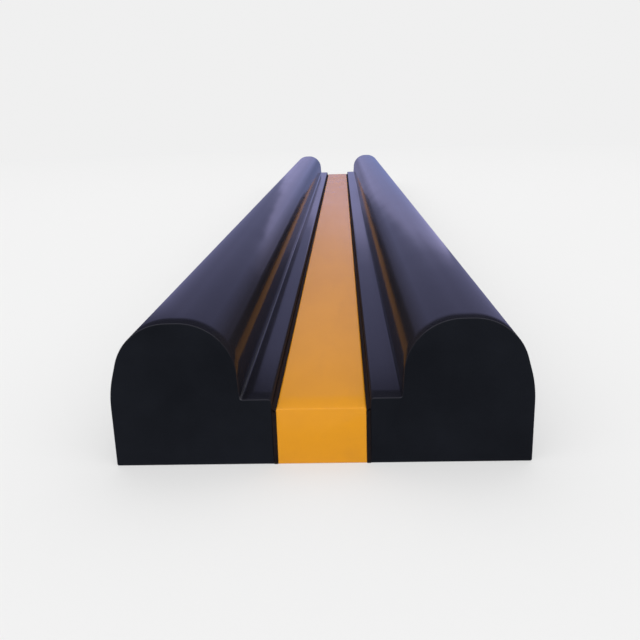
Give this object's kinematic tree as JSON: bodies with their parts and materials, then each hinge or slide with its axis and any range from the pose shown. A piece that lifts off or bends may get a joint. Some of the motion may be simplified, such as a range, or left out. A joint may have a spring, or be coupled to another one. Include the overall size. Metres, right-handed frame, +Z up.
{
  "type": "rubber speed bump",
  "caption": "Rubber speed bump with round-topped black ribs and ledges either side of a recessed amber centre strip, clamped together by hidden cross ties.",
  "frame": {"origin": "centre of the underside, on the road surface", "axes": "+Z up, +Y along the bump from its near end to its far end, +X across it"},
  "size_m": [0.21, 1.5, 0.075],
  "materials": {
    "rail_rubber": "gloss moulded top, matt cut ends",
    "strip_amber": "satin, coloured through",
    "bond": "gloss cured adhesive",
    "plug_rubber": "matt",
    "zinc_steel": "zinc plated",
    "nylon": "matt"
  },
  "bodies": {
    "root": {"centre_strip": "strip_amber", "left_bond_seam": "bond", "left_ground_socket_1": "zinc_steel", "left_ground_socket_2": "zinc_steel", "left_ground_socket_3": "zinc_steel", "left_lock_nuts": "zinc_steel", "left_lock_rings": "nylon", "left_rail": "rail_rubber", "left_side_plugs": "plug_rubber", "left_tie_washers": "zinc_steel", "right_bond_seam": "bond", "right_ground_socket_1": "zinc_steel", "right_ground_socket_2": "zinc_steel", "right_ground_socket_3": "zinc_steel", "right_lock_nuts": "zinc_steel", "right_lock_rings": "nylon", "right_rail": "rail_rubber", "right_side_plugs": "plug_rubber", "right_tie_washers": "zinc_steel", "tie_rod_1": "zinc_steel", "tie_rod_2": "zinc_steel", "tie_rod_3": "zinc_steel", "tie_rod_4": "zinc_steel", "tie_rod_5": "zinc_steel", "tie_rod_6": "zinc_steel"}
  },
  "joints": []
}
